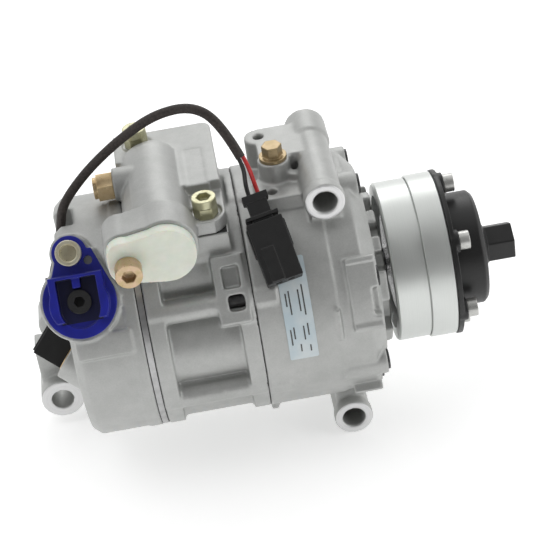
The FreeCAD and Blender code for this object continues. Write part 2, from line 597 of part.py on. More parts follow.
def make_control_valve():
    """Displacement control valve, let into the rear housing at a slant, its needle, seals and lead plug."""
    seals = (14, 26)
    top = valve_point(7.5)
    body = fuse([cylinder(7.6, 25, top, VALVE_TURN), cylinder(8.4, 4, top, VALVE_TURN)])
    needle_hole = cylinder(2.5, 23, valve_point(12), VALVE_TURN)
    cut(body, [valve_ring(9, 6.4, depth, 2) for depth in seals] + [needle_hole], "control_valve_body")
    group([valve_ring(8.45, 6.45, depth + 0.1, 1.8) for depth in seals], "control_valve_rings")
    cylinder(2.4, 18, valve_point(14), VALVE_TURN, "control_needle")
    shell = local_box((15.3, 12, 14.5), valve_point(-7), VALVE_TURN)
    lid = local_box((13.3, 10, 1), valve_point(-8), VALVE_TURN)
    fuse([shell, lid], "valve_plug")


def ring_at(outer, inner, start, end, y, z):
    return cut(rod(outer, start, end, y, z), [rod(inner, start - 1, end + 1, y, z)])


def make_label():
    """Blank rating label: a thin sticker bent round the front housing."""
    return sector(S.body_r + 0.3, S.body_r, -27.5, -14, 45, 49.2, "rating_label")


# ---------------------------------------------------------------- shaft train and pistons

def make_shaft_train():
    turned("drive_shaft", [(-62, 0), (-62, S.shaft_r), (27, S.shaft_r), (28, 7), (61, 7), (61, 0)])
    turned("rotor_plate", [(-5, S.shaft_r), (-5, 24), (-3, 26), (0.5, 26), (0.5, S.shaft_r)])
    ball_body = common(ball(S.ball_r, (S.swash_x, 0, 0)), rod(20, S.swash_x - 8, S.swash_x + 8))
    pin_hole = cylinder(2.2, 40, (S.swash_x, -20, 0), ALONG_Y)
    cut(ball_body, [rod(S.shaft_r, -60, 10), pin_hole], "ball_sleeve")
    pins = [cylinder(2.2, 11.5, (S.swash_x, side, 0), ALONG_Y) for side in (8, -19.5)]
    group(pins, "drive_pins")
    sleeve("coupling_hub", S.hub_r, 7, 30, S.ring_front_x)
    groove = S.ring_step_x
    turned("coupling_ring_rear", [(S.ring_rear_x, S.ring_inner_r), (S.ring_rear_x, S.ring_rear_r - 0.8),
                                  (S.ring_rear_x + 0.8, S.ring_rear_r), (groove - 0.5, S.ring_rear_r),
                                  (groove - 0.5, S.ring_rear_r - 1), (groove, S.ring_rear_r - 1),
                                  (groove, S.ring_inner_r)])
    turned("coupling_ring_front", [(groove, S.ring_inner_r), (groove, S.ring_front_r - 0.4),
                                   (groove + 0.4, S.ring_front_r), (S.ring_front_x - 0.6, S.ring_front_r),
                                   (S.ring_front_x, S.ring_front_r - 0.6), (S.ring_front_x, S.ring_inner_r)])
    sleeve("damper_rubber", S.ring_inner_r, S.hub_r, 33, 53)
    bosses = []
    holes = [rod(3, 52, S.plate_front_x + 4, y, z) for _, y, z in plate_bolt_positions()]
    for _, y, z in plate_bolt_positions():
        bosses.append(rod(5.6, S.ring_front_x, S.plate_front_x + 2, y, z))
    drum = [rod(S.ring_front_r + 0.5, S.ring_front_x, S.plate_front_x),
            rod(S.drum_r, S.plate_front_x, S.drum_front_x - 2),
            cone(S.drum_r, S.drum_r - 2, 2, (S.drum_front_x - 2, 0, 0)),
            cone(13, 10.5, 3, (S.drum_front_x, 0, 0)),
            hexagon(S.hex_flats, S.hex_front_x - S.drum_front_x - 2, (S.drum_front_x + 2, 0, 0))]
    cut(fuse(drum + bosses), holes + [rod(7.2, 55, 62), rod(4, 57, 87)], "drive_plate")
    bolts = []
    for _, y, z in plate_bolt_positions():
        head = cut(rod(4.5, S.plate_front_x + 2, S.plate_front_x + 7, y, z),
                   [hexagon(4, 3, (S.plate_front_x + 5, y, z))])
        bolts.append(fuse([head, rod(2.9, S.ring_front_x, S.plate_front_x + 2, y, z)]))
    group(bolts, "coupling_bolts")


def plate_bolt_positions():
    return round_positions(6, 11, S.plate_bolt_circle_r)


def make_swash_plate():
    half = S.swash_t * 0.5
    middle = S.swash_x
    disc = fuse([rod(S.swash_r, middle - half, middle + half), rod(S.swash_hub_r, middle - 6, middle + 6)])
    slots = box((middle - 7, -20.3, -2.9), (middle + 7, 20.3, 2.9))
    return cut(disc, [ball(S.ball_r + 0.1, (middle, 0, 0)), slots], "swash_plate")


def make_shoes():
    """Two half-balls per piston, either side of the swash plate."""
    gap = S.swash_t * 0.5 + 0.03
    shoes = []
    for _, y, z in round_positions(PISTONS, PISTON_START, S.bore_circle_r):
        for start, end in ((S.swash_x - 10, S.swash_x - gap), (S.swash_x + gap, S.swash_x + 10)):
            shoes.append(common(ball(S.shoe_ball_r, (S.swash_x, y, z)), rod(S.shoe_r, start, end, y, z)))
    group(shoes, "piston_shoes")


def make_piston(number, y, z):
    """A cast piston: crown with a ring groove, lightened neck, and a bridge over the swash plate's rim."""
    middle = S.swash_x
    reach = 12.5
    blank = rod(S.bore_r - S.fit, S.piston_crown_x, S.piston_front_x, y, z)
    groove = ring_at(S.bore_r + 1, S.bore_r - 1.1, S.piston_crown_x + 4, S.piston_crown_x + 6, y, z)
    walls = [cone(0, reach * 2.4, reach * 0.816, (middle + 4.4, y, z)),
             cone(0, reach * 2.4, reach * 0.816, (middle - 4.4, y, z), Rotation(Vector(0, 1, 0), -90))]
    slot = common(cut(rod(20, middle - 10, middle + 10, y, z), walls), rod(47.5, middle - 11, middle + 11))
    inner = rod(29, -36, 0)
    neck = common(cut(rod(S.bore_r + 1, -62, -38, y, z), [rod(8.5, -63, -37, y, z)]), rod(41, -63, -37))
    drop = value_of(z) * (1 - math.cos(SWASH_LIMIT))
    socket_r = S.shoe_ball_r + 0.12
    socket = fuse([ball(socket_r, (middle, y, z)),
                   cylinder(socket_r, abs(drop), (middle, y, z - max(drop, 0)), ALONG_Z),
                   ball(socket_r, (middle, y, z - drop))])
    return cut(blank, [groove, slot, inner, neck, socket], f"piston_{number}")


# ---------------------------------------------------------------- springs and the flying lead

def feature(label, shape):
    thing = doc.addObject("Part::Feature", label)
    thing.Shape = shape
    return thing


def make_return_spring():
    """Coil that pushes the swash plate back to its smallest tilt."""
    coil_r = 9.1
    wire_r = 0.6
    length = 7.2
    helix = Part.makeHelix(1.75, length, coil_r)
    start = helix.Edges[0].valueAt(helix.Edges[0].FirstParameter)
    profile = Part.Wire(Part.Circle(start, Vector(0, 1, 0), wire_r).toShape())
    spring = Part.Wire(helix.Edges).makePipeShell([profile], True, True)
    spring.rotate(Vector(), Vector(0, 1, 0), 90)
    spring.translate(Vector(-13.2, 0, 0))
    return feature("return_spring", spring)


def tube(label, points, radius):
    """A tube of straight runs joined by tangent arcs through a list of route points."""
    route = [Vector(*point) for point in points]
    edges = []
    at = route[0]
    radii = []
    for before, corner, after in zip(route, route[1:], route[2:]):
        back = before - corner
        ahead = after - corner
        turn = math.pi - back.getAngle(ahead)
        reach = 0.45 * min(back.Length, ahead.Length)
        radii.append(reach / math.tan(turn / 2))
        start = corner + back.normalize() * reach
        end = corner + ahead.normalize() * reach
        inward = (back + ahead).normalize()
        centre_gap = math.hypot(radii[-1], reach)
        middle = corner + inward * (centre_gap - radii[-1])
        edges.append(Part.LineSegment(at, start).toShape())
        edges.append(Part.Arc(start, middle, end).toShape())
        at = end
    edges.append(Part.LineSegment(at, route[-1]).toShape())
    path = Part.Wire(edges)
    profile = Part.Wire(Part.Circle(route[0], route[1] - route[0], radius).toShape())
    solid = path.makePipeShell([profile], True, False)
    share = solid.Volume / (math.pi * radius ** 2 * path.Length)
    print(label, "length %.1f mm" % path.Length, "volume share %.4f" % share,
          "arc radii", " ".join("%.0f" % bend for bend in radii))
    return feature(label, solid)


LEAD_POINTS = [(-138.4, -19.08, -0.85), (-138.2, -11.7, -6), (-138.8, -3.8, -2.6), (-137.2, 0.2, 5.5),
               (-134.5, 1, 16), (-131, 0.6, 29), (-126, 0, 41.5), (-123, -0.4, 53.5), (-120.6, -0.6, 63.5),
               (-113.5, 1, 72), (-102, 3.2, 82), (-86, 1.5, 94.5), (-69, -3, 106), (-51.5, -9.5, 110.5),
               (-40.5, -15.5, 102), (-34.4, -22, 86.9)]
SHEATH_END = Vector(-34.4, -22, 86.9)
CONNECTOR_TURN = Rotation(Vector(1, 0, 0), -42) * Rotation(Vector(0, 1, 0), -10)
CONNECTOR_CENTRE = Vector(-26.5, -45.9, 48.5)


def connector_point(across, deep, up):
    place = CONNECTOR_CENTRE + CONNECTOR_TURN.multVec(Vector(across, deep, up))
    return place.x, place.y, place.z


def make_lead():
    """The control valve's flying lead: sheath, two wires and the connector resting on the front housing."""
    tube("lead_sheath", LEAD_POINTS, value_of(S.lead_r))
    heading = (SHEATH_END - Vector(*LEAD_POINTS[-2])).normalize()
    side = CONNECTOR_TURN.multVec(Vector(1, 0, 0))
    for label, offset, across in (("lead_wire_black", -1.05, -2.2), ("lead_wire_red", 1.05, 2.2)):
        start = SHEATH_END + side * offset
        first = start + heading * 5
        end = Vector(*connector_point(across, 0, 28))
        approach = Vector(*connector_point(across, 0, 33))
        tube(label, [tuple(p) for p in (start, first, approach, end)], value_of(S.wire_r))
    boot = [local_box((9.5, 9.5, 10), connector_point(0, 0, 15), CONNECTOR_TURN),
            local_box((12, 10.5, 3.4), connector_point(0, 0, 24.6), CONNECTOR_TURN),
            local_box((15.5, 12, 1.6), connector_point(0, 0, 16.4), CONNECTOR_TURN)]
    fuse(boot, "connector_boot")
    shell = [local_box((17, 12.5, 29), connector_point(0, 0, -14), CONNECTOR_TURN),
             local_box((6, 1.4, 16), connector_point(-3, -6.5, -13.5), CONNECTOR_TURN),
             local_box((18.4, 8, 13), connector_point(0, 0, 0), CONNECTOR_TURN)]
    slots = [local_box((3, 4, 4), connector_point(side, 0, -15), CONNECTOR_TURN) for side in (-3, 3)]
    cut(fuse(shell), slots, "connector_body")
    clip_run = Rotation(Vector(0, 0, 1), Vector(3.5, -0.4, 13))
    cut(box((-136.6, -3.3, 17.5), (S.rear_face_x, 4.9, 22.5)),
        [cylinder(S.lead_r + 0.03, 20, (-135.04, 1.06, 14), clip_run)], "lead_clip")


# ---------------------------------------------------------------- build, check and write

make_cylinder_block()
make_front_housing()
make_rear_housing()
make_sandwich()
make_seals_and_bearings()
make_through_bolts()
make_manifold()
make_relief_valve()
make_port_caps()
make_control_valve()
make_label()
make_shaft_train()
make_swash_plate()
make_shoes()
piston_places = round_positions(PISTONS, PISTON_START, S.bore_circle_r)
for number, (_, piston_y, piston_z) in enumerate(piston_places, start=1):
    make_piston(number, piston_y, piston_z)
make_return_spring()
make_lead()
doc.recompute()

failed = [thing.Label for thing in doc.Objects if "Invalid" in thing.State or "Error" in thing.State]
if failed:
    raise RuntimeError(f"objects that failed: {failed}")

NODES = ["front_housing", "cylinder_block", "rear_housing", "valve_plate", "front_gasket", "rear_gasket",
         "seam_o_ring", "suction_reeds", "discharge_reeds", "discharge_retainer", "through_bolts",
         "muffler_housing", "muffler_gasket", "muffler_bolts", "relief_valve_body", "relief_poppet",
         "discharge_port_cap", "discharge_cap_bolt", "suction_port_cap", "suction_cap_bolt",
         "suction_cap_plug", "pad_bolt", "control_valve_body", "control_valve_rings", "control_needle",
         "valve_plug", "front_bearing", "shaft_seal", "seal_ring", "rear_bearing", "thrust_bearing", "rating_label",
         "drive_shaft", "rotor_plate", "ball_sleeve", "drive_pins", "return_spring", "coupling_hub",
         "coupling_ring_rear", "coupling_ring_front", "damper_rubber", "drive_plate", "coupling_bolts",
         "swash_plate", "piston_shoes", "lead_sheath", "lead_wire_red", "lead_wire_black", "connector_body",
         "connector_boot", "lead_clip"]
NODES += [f"piston_{number}" for number in range(1, PISTONS + 1)]

os.makedirs("parts", exist_ok=True)
for node in NODES:
    shape = doc.getObjectsByLabel(node)[0].Shape
    if shape.isNull() or not shape.isValid():
        raise RuntimeError(f"{node} has no valid shape")
    shape.exportStep(f"parts/{node}.step")
    bounds = shape.BoundBox
    reach = f"x {bounds.XMin:.1f} to {bounds.XMax:.1f}"
    print(f"{node}: {len(shape.Solids)} solid(s), {shape.Volume:.0f} mm3, {reach}")
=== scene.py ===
"""Looks for an automotive air-conditioning compressor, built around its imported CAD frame.

Metres, in the CAD frame: +X along the shaft to the drive end, +Y towards the engine, +Z up.
"""
import json
import math

import bmesh
import bpy
from mathutils import Matrix, Quaternion, Vector


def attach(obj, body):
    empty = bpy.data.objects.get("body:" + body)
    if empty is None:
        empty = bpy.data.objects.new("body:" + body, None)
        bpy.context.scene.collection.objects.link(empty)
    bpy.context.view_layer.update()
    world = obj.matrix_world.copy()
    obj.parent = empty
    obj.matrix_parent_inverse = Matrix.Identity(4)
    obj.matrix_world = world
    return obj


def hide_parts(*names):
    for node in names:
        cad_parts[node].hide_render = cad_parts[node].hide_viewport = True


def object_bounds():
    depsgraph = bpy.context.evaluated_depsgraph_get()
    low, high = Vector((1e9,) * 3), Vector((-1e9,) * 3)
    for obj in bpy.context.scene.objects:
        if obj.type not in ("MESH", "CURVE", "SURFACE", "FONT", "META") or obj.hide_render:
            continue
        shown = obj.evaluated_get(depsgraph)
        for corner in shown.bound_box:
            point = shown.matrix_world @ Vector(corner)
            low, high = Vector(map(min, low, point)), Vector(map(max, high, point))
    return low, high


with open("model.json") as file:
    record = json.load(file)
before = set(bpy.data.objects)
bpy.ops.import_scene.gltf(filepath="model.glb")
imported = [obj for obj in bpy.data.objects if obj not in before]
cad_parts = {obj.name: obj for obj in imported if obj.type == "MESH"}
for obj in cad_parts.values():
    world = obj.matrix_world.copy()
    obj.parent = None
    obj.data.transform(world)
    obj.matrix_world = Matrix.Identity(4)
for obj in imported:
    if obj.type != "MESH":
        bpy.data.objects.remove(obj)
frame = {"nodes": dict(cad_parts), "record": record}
cad_low, cad_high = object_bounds()
nodes = frame["nodes"]
scene = bpy.context.scene

MM = 0.001


def mm(*lengths):
    """A point or a size given in millimetres."""
    return Vector(lengths) * MM


# ---------------------------------------------------------------- camera, floor and light

CAMERA_TARGET = mm(-26.5, 0, 3.8)
CAMERA_ELEVATION = math.radians(35)
CAMERA_AZIMUTH = math.radians(-2)
CAMERA_ROLL = math.radians(-9)
CAMERA_DISTANCE = 0.91
CAMERA_LENS = 121.6
LAMPS = {  # place, diameter in metres, watts
    "key": ((-0.6, -0.3, 1.6), 1.1, 3.5),
    "fill": ((1.4, -0.7, 0.7), 0.9, 4),
    "rim": ((0.2, 1.4, 1.0), 0.9, 4),
}
DARK_SIDE = (0.0, -0.85, 0.53)  # the studio is darkest in this direction, which models the round castings
SKY_STOPS = ((0.25, 1.0), (0.95, 0.2))  # how far round towards the dark side, and how bright it is there
SKY_STRENGTH = 0.92
FLOOR_HALF = 4.0
FLOOR_FINISH = {"Base Color": (0.93, 0.93, 0.93, 1), "Roughness": 0.9, "Emission Color": (1, 1, 1, 1),
                "Emission Strength": 0.42}


def make_camera():
    data = bpy.data.cameras.new("camera")
    data.lens = CAMERA_LENS
    data.clip_start = 0.01
    data.clip_end = 20
    camera = bpy.data.objects.new("camera", data)
    scene.collection.objects.link(camera)
    flat = math.cos(CAMERA_ELEVATION)
    back = Vector((math.sin(CAMERA_AZIMUTH) * flat, -math.cos(CAMERA_AZIMUTH) * flat,
                   math.sin(CAMERA_ELEVATION)))
    camera.location = CAMERA_TARGET + back * CAMERA_DISTANCE
    camera.rotation_mode = "QUATERNION"
    upright = (-back).to_track_quat("-Z", "Y")
    camera.rotation_quaternion = upright @ Quaternion((0, 0, 1), CAMERA_ROLL)
    scene.camera = camera


def make_lamp(name, place, size, watts):
    data = bpy.data.lights.new(name, "AREA")
    data.shape = "DISK"
    data.size = size
    data.energy = watts
    lamp = bpy.data.objects.new(name, data)
    lamp.location = place
    lamp.rotation_mode = "QUATERNION"
    lamp.rotation_quaternion = (CAMERA_TARGET - Vector(place)).to_track_quat("-Z", "Y")
    scene.collection.objects.link(lamp)


def make_sky():
    world = bpy.data.worlds.new("studio")
    world.use_nodes = True
    tree = world.node_tree
    place = tree.nodes.new("ShaderNodeTexCoord")
    facing = tree.nodes.new("ShaderNodeVectorMath")
    facing.operation = "DOT_PRODUCT"
    facing.inputs[1].default_value = DARK_SIDE
    shade = tree.nodes.new("ShaderNodeValToRGB")
    for stop, (position, level) in zip(shade.color_ramp.elements, SKY_STOPS):
        stop.position = position
        stop.color = (level, level, level, 1)
    shade.color_ramp.interpolation = "EASE"
    sky = tree.nodes["Background"]
    sky.inputs["Strength"].default_value = SKY_STRENGTH
    tree.links.new(place.outputs["Generated"], facing.inputs[0])
    tree.links.new(facing.outputs["Value"], shade.inputs["Fac"])
    tree.links.new(shade.outputs["Color"], sky.inputs["Color"])
    scene.world = world


def make_floor():
    data = bpy.data.meshes.new("floor")
    corners = [(-FLOOR_HALF, -FLOOR_HALF, 0), (FLOOR_HALF, -FLOOR_HALF, 0), (FLOOR_HALF, FLOOR_HALF, 0),
               (-FLOOR_HALF, FLOOR_HALF, 0)]
    data.from_pydata(corners, [], [(0, 1, 2, 3)])
    floor = bpy.data.objects.new("floor", data)
    floor.location.z = cad_low.z
    scene.collection.objects.link(floor)
    pale = bpy.data.materials.new("floor")
    pale.use_nodes = True
    for name, value in FLOOR_FINISH.items():
        pale.node_tree.nodes["Principled BSDF"].inputs[name].default_value = value
    data.materials.append(pale)


def make_studio():
    make_sky()
    for name, (place, size, watts) in LAMPS.items():
        make_lamp(name, place, size, watts)
    make_floor()


# ---------------------------------------------------------------- materials

class Shader:
    """A Principled material with its nodes, read in the object's own frame."""

    def __init__(self, name, metallic=0.0):
        self.material = bpy.data.materials.new(name)
        self.material.use_nodes = True
        self.tree = self.material.node_tree
        self.surface = self.tree.nodes["Principled BSDF"]
        self.surface.inputs["Metallic"].default_value = metallic
        self.place = self.node("ShaderNodeTexCoord").outputs["Object"]

    def node(self, kind, inputs=None, **settings):
        """A new node; each input, by name or number, is linked to a socket or set to a value."""
        made = self.tree.nodes.new(kind)
        for name, value in settings.items():
            setattr(made, name, value)
        for name, value in (inputs or {}).items():
            if isinstance(value, bpy.types.NodeSocket):
                self.tree.links.new(value, made.inputs[name])
            else:
                made.inputs[name].default_value = value
        return made

    def link(self, socket, name):
        self.tree.links.new(socket, self.surface.inputs[name])

    def noise(self, size, detail, vector=None):
        """Noise whose features are about this many metres across."""
        return self.node("ShaderNodeTexNoise", {"Vector": vector or self.place, "Scale": 1 / size,
                                                "Detail": detail, "Roughness": 0.55}).outputs["Fac"]

    def ramp(self, factor, low, high):
        """A blend between two stops, each a position and a colour."""
        made = self.node("ShaderNodeValToRGB", {"Fac": factor})
        for element, (position, colour) in zip(made.color_ramp.elements, (low, high)):
            element.position = position
            element.color = (*colour, 1)
        return made.outputs["Color"]

    def mix(self, factor, first, second, blend="MIX"):
        return self.node("ShaderNodeMix", data_type="RGBA", blend_type=blend,
                         inputs={0: factor, 6: first, 7: second}).outputs[2]

    def bump(self, height, distance, strength, onto=None):
        inputs = {"Height": height, "Distance": distance, "Strength": strength}
        if onto is not None:
            inputs["Normal"] = onto
        return self.node("ShaderNodeBump", inputs).outputs["Normal"]

    def vector_math(self, operation, *values):
        return self.node("ShaderNodeVectorMath", dict(enumerate(values)), operation=operation).outputs

    def math(self, operation, first, second=0.0):
        return self.node("ShaderNodeMath", {0: first, 1: second}, operation=operation).outputs[0]

    def parts(self, vector):
        return self.node("ShaderNodeSeparateXYZ", {"Vector": vector}).outputs

    def vector(self, **parts):
        return self.node("ShaderNodeCombineXYZ", parts).outputs[0]


def grey(level):
    return (level, level, level)


EAR_FACES = [((0, -36.5, 64), 9.8), ((0, -36.5, -64), 9.8)]  # middle of each land and its radius, millimetres
REAR_EAR_FACE = [((-143.3, 12, -57.8), 15)]
LAND_DEPTH = 0.35  # a land takes in what lies no further behind its middle than this


def cast_aluminium(name, mild=1.0, machined=()):
    """Blasted casting, its relief scaled by mild, with round machined lands that face -Y."""
    shader = Shader(name, metallic=0.6)
    broad = shader.noise(0.035, 4)
    blotch = shader.noise(0.006, 3)
    grain = shader.noise(0.0007, 3)
    colour = shader.ramp(broad, (0.35, (0.46, 0.468, 0.452)), (0.65, (0.52, 0.528, 0.512)))
    colour = shader.mix(0.2, colour, shader.ramp(blotch, (0.35, grey(0.4)), (0.65, grey(0.56))))
    speckle = shader.ramp(grain, (0.32, grey(0.88)), (0.68, grey(1.0)))
    colour = shader.mix(1.0, colour, speckle, "MULTIPLY")
    rough = shader.ramp(grain, (0.3, grey(0.44)), (0.75, grey(0.6)))
    place = shader.parts(shader.place)
    for centre, radius in machined:
        flat = shader.vector(X=place["X"], Z=place["Z"])
        away = shader.vector_math("DISTANCE", flat, mm(centre[0], 0, centre[2]))["Value"]
        near = shader.math("LESS_THAN", away, radius * MM)
        front = shader.math("LESS_THAN", place["Y"], (centre[1] + LAND_DEPTH) * MM)
        land = shader.math("MULTIPLY", near, front)
        rings = shader.noise(0.0004, 2, shader.vector(X=away))
        colour = shader.mix(land, colour, shader.ramp(rings, (0.3, grey(0.66)), (0.7, grey(0.78))))
        rough = shader.mix(land, rough, (0.36, 0.36, 0.36, 1))
    shader.link(colour, "Base Color")
    shader.link(rough, "Roughness")
    fine = shader.bump(grain, 0.00009 * mild, 0.5)
    shader.link(shader.bump(shader.noise(0.005, 3), 0.00028 * mild, 0.3, fine), "Normal")
    return shader.material


def turned_metal(name, light, dark, roughness, metallic=1.0):
    """Fine rings about the shaft axis: bands that change along X on a rim and along the radius on a face."""
    shader = Shader(name, metallic)
    place = shader.parts(shader.place)
    radius = shader.vector_math("LENGTH", shader.vector(Y=place["Y"], Z=place["Z"]))["Value"]
    travel = shader.math("ADD", place["X"], radius)
    bands = shader.noise(0.00035, 2, shader.vector(X=travel))
    wide = shader.noise(0.02, 2)
    blend = shader.ramp(bands, (0.3, grey(0)), (0.7, grey(1)))
    shader.link(shader.mix(blend, (*light, 1), (*dark, 1)), "Base Color")
    shader.link(shader.ramp(wide, (0.3, grey(roughness - 0.05)), (0.7, grey(roughness + 0.07))), "Roughness")
    shader.link(shader.bump(bands, 0.00004, 0.5), "Normal")
    return shader.material


def mottled(name, light, dark, roughness, metallic=0.0, patch=0.004, grain=0.0005, relief=0.00005):
    """A plain surface with gentle patches of tone and a fine grain."""
    shader = Shader(name, metallic)
    patches = shader.noise(patch, 4)
    fine = shader.noise(grain, 2)
    blend = shader.ramp(patches, (0.35, grey(0)), (0.65, grey(1)))
    shader.link(shader.mix(blend, (*dark, 1), (*light, 1)), "Base Color")
    shader.link(shader.ramp(fine, (0.3, grey(max(roughness - 0.06, 0.02))), (0.7, grey(roughness + 0.08))),
                "Roughness")
    shader.link(shader.bump(fine, relief, 0.6), "Normal")
    return shader


def plated(name, light, dark):
    """Plated metal: smooth, with faint clouds of tone and a fine haze."""
    return mottled(name, light, dark, 0.33, metallic=0.75, grain=0.0008, relief=0.000006).material


def milky_plastic():
    """Translucent white moulding."""
    shader = mottled("white_cap", (0.8, 0.83, 0.74), (0.74, 0.78, 0.68), 0.4, patch=0.006)
    shader.surface.inputs["Subsurface Weight"].default_value = 0.4
    shader.surface.inputs["Subsurface Scale"].default_value = 0.003
    return shader.material


PORT_FACE = mm(-118.1, -45.0, 39.81)  # middle of the face that the blue cap sits on
PORT_LEAN = math.radians(35)
PORT_OUT = Vector((0, -math.cos(PORT_LEAN), math.sin(PORT_LEAN)))
PORT_UP = Vector((0, math.sin(PORT_LEAN), math.cos(PORT_LEAN)))
RECESS_TOP = 4.5 * MM  # the cap's sunk floor lies nearer to the port's face than this
RECESS_HALF_WIDTH = 9.5 * MM
RECESS_LOW = -9.5 * MM
RECESS_HIGH = 11.3 * MM


def blue_plastic():
    """Royal blue moulding whose sunk floor, within the horseshoe collar, is painted darker: painted shade in
    the recess.
    """
    shader = mottled("blue_cap", (0.008, 0.013, 0.3), (0.006, 0.01, 0.22), 0.4, patch=0.006)
    from_port = shader.vector_math("SUBTRACT", shader.place, PORT_FACE)[0]
    depth, rise = (shader.vector_math("DOT_PRODUCT", from_port, axis)["Value"] for axis in (PORT_OUT, PORT_UP))
    across = shader.math("ABSOLUTE", shader.parts(from_port)["X"])
    recess_shade_mask = shader.math("LESS_THAN", depth, RECESS_TOP)
    for operation, value, limit in (("LESS_THAN", across, RECESS_HALF_WIDTH), ("LESS_THAN", rise, RECESS_HIGH),
                                    ("GREATER_THAN", rise, RECESS_LOW)):
        recess_shade_mask = shader.math("MULTIPLY", recess_shade_mask, shader.math(operation, value, limit))
    colour = shader.surface.inputs["Base Color"].links[0].from_socket
    # painted shade: the sunk floor gets a far darker blue, standing in for the shade that falls in the recess
    shader.link(shader.mix(recess_shade_mask, colour, (0.0035, 0.0045, 0.045, 1)), "Base Color")
    return shader.material


MOTTLED = {  # light tone, dark tone, roughness, and what else differs from the usual
    "valve_steel": (grey(0.5), grey(0.4), 0.35, {"metallic": 1.0}),
    "bright_steel": (grey(0.66), grey(0.54), 0.28, {"metallic": 1.0, "patch": 0.003}),
    "black_iron": (grey(0.008), grey(0.005), 0.42, {"patch": 0.01, "grain": 0.0006, "relief": 0.00002}),
    "dark_bolts": (grey(0.1), grey(0.06), 0.4, {"metallic": 0.8, "patch": 0.003}),
    "gasket": (grey(0.02), grey(0.012), 0.6, {}),
    "seal_rubber": (grey(0.016), grey(0.01), 0.6, {}),
    "black_plastic": (grey(0.009), grey(0.006), 0.5, {"relief": 0.00003}),
    "label": ((0.66, 0.71, 0.72), (0.5, 0.6, 0.65), 0.4, {"patch": 0.018}),
    "sheath": ((0.045, 0.034, 0.03), (0.018, 0.014, 0.012), 0.62, {"patch": 0.0012}),
    "red_wire": ((0.55, 0.015, 0.015), (0.42, 0.01, 0.012), 0.35, {}),
    "black_wire": (grey(0.015), grey(0.01), 0.35, {}),
}


def make_materials():
    """The usual finish of each slot."""
    finish = {slot: mottled(slot, light, dark, roughness, **rest).material
              for slot, (light, dark, roughness, rest) in MOTTLED.items()}
    finish["cast_aluminium"] = cast_aluminium("cast_aluminium")
    finish["turned_aluminium"] = turned_metal("turned_aluminium", (0.68, 0.7, 0.68), (0.63, 0.65, 0.63), 0.38,
                                              metallic=0.85)
    finish["piston_aluminium"] = turned_metal("piston_aluminium", grey(0.7), grey(0.58), 0.3)
    finish["zinc_bolts"] = plated("zinc_bolts", (0.56, 0.55, 0.38), (0.48, 0.46, 0.29))
    finish["brass"] = plated("brass", (0.74, 0.57, 0.34), (0.66, 0.48, 0.26))
    finish["white_cap"] = milky_plastic()
    finish["blue_cap"] = blue_plastic()
    return finish


def make_special_materials():
    """Pieces that differ from their slot's usual finish."""
    return {
        "front_housing": cast_aluminium("front_casting", machined=EAR_FACES),
        "rear_housing": cast_aluminium("rear_casting", machined=REAR_EAR_FACE),
        "muffler_housing": cast_aluminium("muffler_casting", 0.8),
        "pad_bolt": plated("gold_bolt", (0.42, 0.32, 0.19), (0.34, 0.26, 0.14)),
        "discharge_cap_bolt": plated("copper_bolt", (0.62, 0.45, 0.31), (0.5, 0.39, 0.21)),
        "coupling_bolts": plated("silver_bolt", (0.6, 0.6, 0.58), (0.5, 0.5, 0.48)),
        "suction_cap_bolt": plated("pale_bolt", (0.8, 0.76, 0.6), (0.68, 0.62, 0.46)),
    }


def dress(thing, material):
    thing.data.materials.clear()
    thing.data.materials.append(material)


def finish_of(name):
    """Material of a CAD node: its own where it has one, or its slot's."""
    return OWN_FINISH.get(name, FINISH[SLOTS[name]])


# ---------------------------------------------------------------- pieces made from the CAD shapes

SOFTENED = [  # node, voxel in millimetres, rounds of smoothing, and the body where it isn't the housing
    ("front_housing", 0.75, 5), ("cylinder_block", 0.75, 5), ("rear_housing", 0.75, 5),
    ("muffler_housing", 0.55, 7), ("discharge_port_cap", 0.3, 9), ("suction_port_cap", 0.28, 5),
    ("suction_cap_plug", 0.2, 4), ("suction_cap_bolt", 0.2, 4), ("discharge_cap_bolt", 0.2, 5),
    ("pad_bolt", 0.2, 4), ("muffler_bolts", 0.22, 4), ("relief_valve_body", 0.2, 4), ("valve_plug", 0.25, 4),
    ("connector_body", 0.28, 4), ("connector_boot", 0.25, 5), ("drive_plate", 0.45, 4, "rotor"),
    ("coupling_bolts", 0.25, 4, "rotor"), ("through_bolts", 0.3, 3),
]
CAST_DETAILS = {  # blocks that melt into a casting: middle and size in millimetres, turn about X in degrees
    "front_housing": [((-37.4, -33.5, -49), (3.6, 5.5, 4), 145), ((-2.5, -57.6, 10.5), (2.2, 3.4, 16), -10.3),
                      ((8, -46.5, -36), (14, 8, 2.2), 38)],
    "muffler_housing": [((-56, 6, 67.3), (11, 34, 4.9), 0)],
}


def add_blocks(data, blocks):
    mesh = bmesh.new()
    mesh.from_mesh(data)
    for middle, size, turn in blocks:
        where = (Matrix.Translation(mm(*middle)) @ Matrix.Rotation(math.radians(turn), 4, "X")
                 @ Matrix.Diagonal((*mm(*size), 1)))
        bmesh.ops.create_cube(mesh, size=1, matrix=where)
    mesh.to_mesh(data)
    mesh.free()


def soften(name, voxel, rounds, body="housing"):
    """The CAD piece with rounded edges: the same shape skinned finely and relaxed a little."""
    source = nodes[name]
    piece = bpy.data.objects.new(name + "_skin", source.data.copy())
    add_blocks(piece.data, CAST_DETAILS.get(name, []))
    scene.collection.objects.link(piece)
    piece.matrix_world = source.matrix_world.copy()
    skin = piece.modifiers.new("skin", "REMESH")
    skin.mode = "VOXEL"
    skin.voxel_size = voxel * MM
    skin.use_smooth_shade = True
    relax = piece.modifiers.new("relax", "SMOOTH")
    relax.factor = 0.5
    relax.iterations = rounds
    shaped = bpy.data.meshes.new_from_object(piece.evaluated_get(bpy.context.evaluated_depsgraph_get()))
    piece.modifiers.clear()
    piece.data = shaped
    shaped.name = piece.name
    dress(piece, finish_of(name))
    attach(piece, body)
    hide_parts(name)


# ---------------------------------------------------------------- flying lead and label

